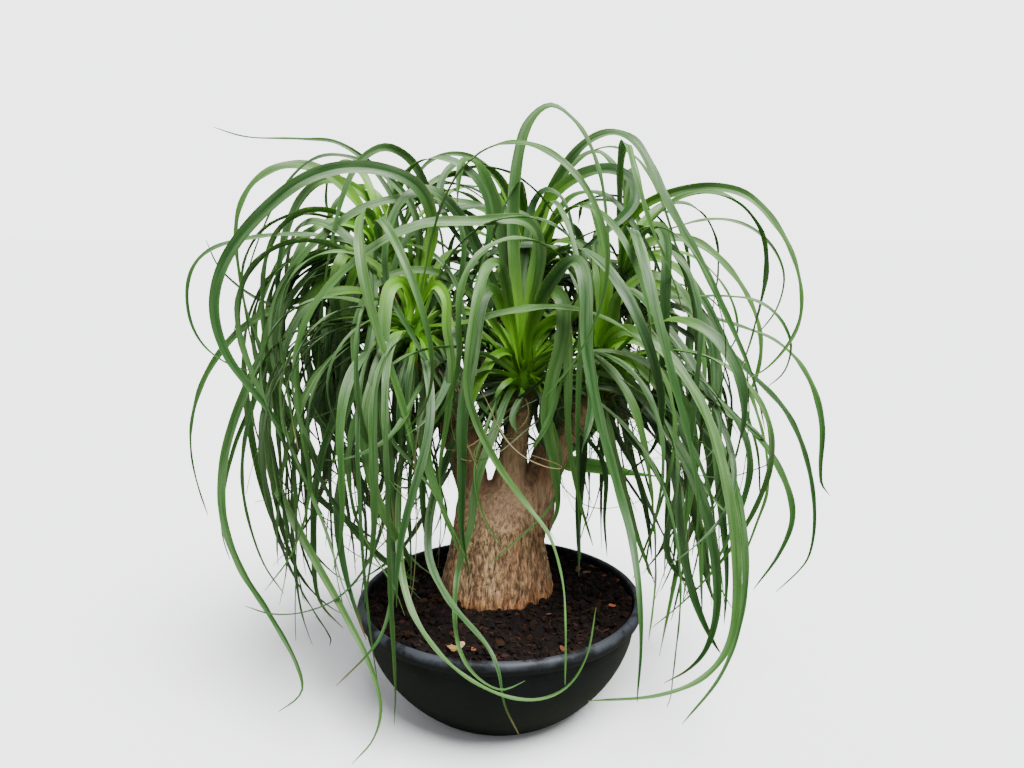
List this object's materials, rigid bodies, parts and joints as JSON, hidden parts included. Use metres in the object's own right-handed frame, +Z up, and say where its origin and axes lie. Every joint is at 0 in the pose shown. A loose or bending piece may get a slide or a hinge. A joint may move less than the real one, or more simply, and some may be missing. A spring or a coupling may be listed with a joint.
{
  "type": "potted ponytail palm",
  "caption": "Ponytail palm with a swollen forked trunk and heads of long arching strap leaves, standing in soil in a shallow round bowl pot with a rolled rim.",
  "frame": {"origin": "middle of the pot's flat underside, on the surface the plant stands on", "axes": "+Z up along the pot's axis; -Y towards the viewer of the picture; +X to the viewer's right"},
  "size_m": [0.6157, 0.481, 0.5741],
  "materials": {
    "pot": "moulded dark charcoal plastic, satin with scuffs and dust on the rim",
    "soil": "damp coarse coco and bark mix",
    "bark": "furrowed fibrous tan bark",
    "leaf": "smooth leathery strap leaves, satin"
  },
  "bodies": {
    "root": {"pot": "pot", "soil": "soil", "trunk": "bark", "front_head": "leaf", "left_head": "leaf", "right_head": "leaf", "left_back_head": "leaf", "back_head": "leaf", "right_back_head": "leaf"}
  },
  "joints": []
}
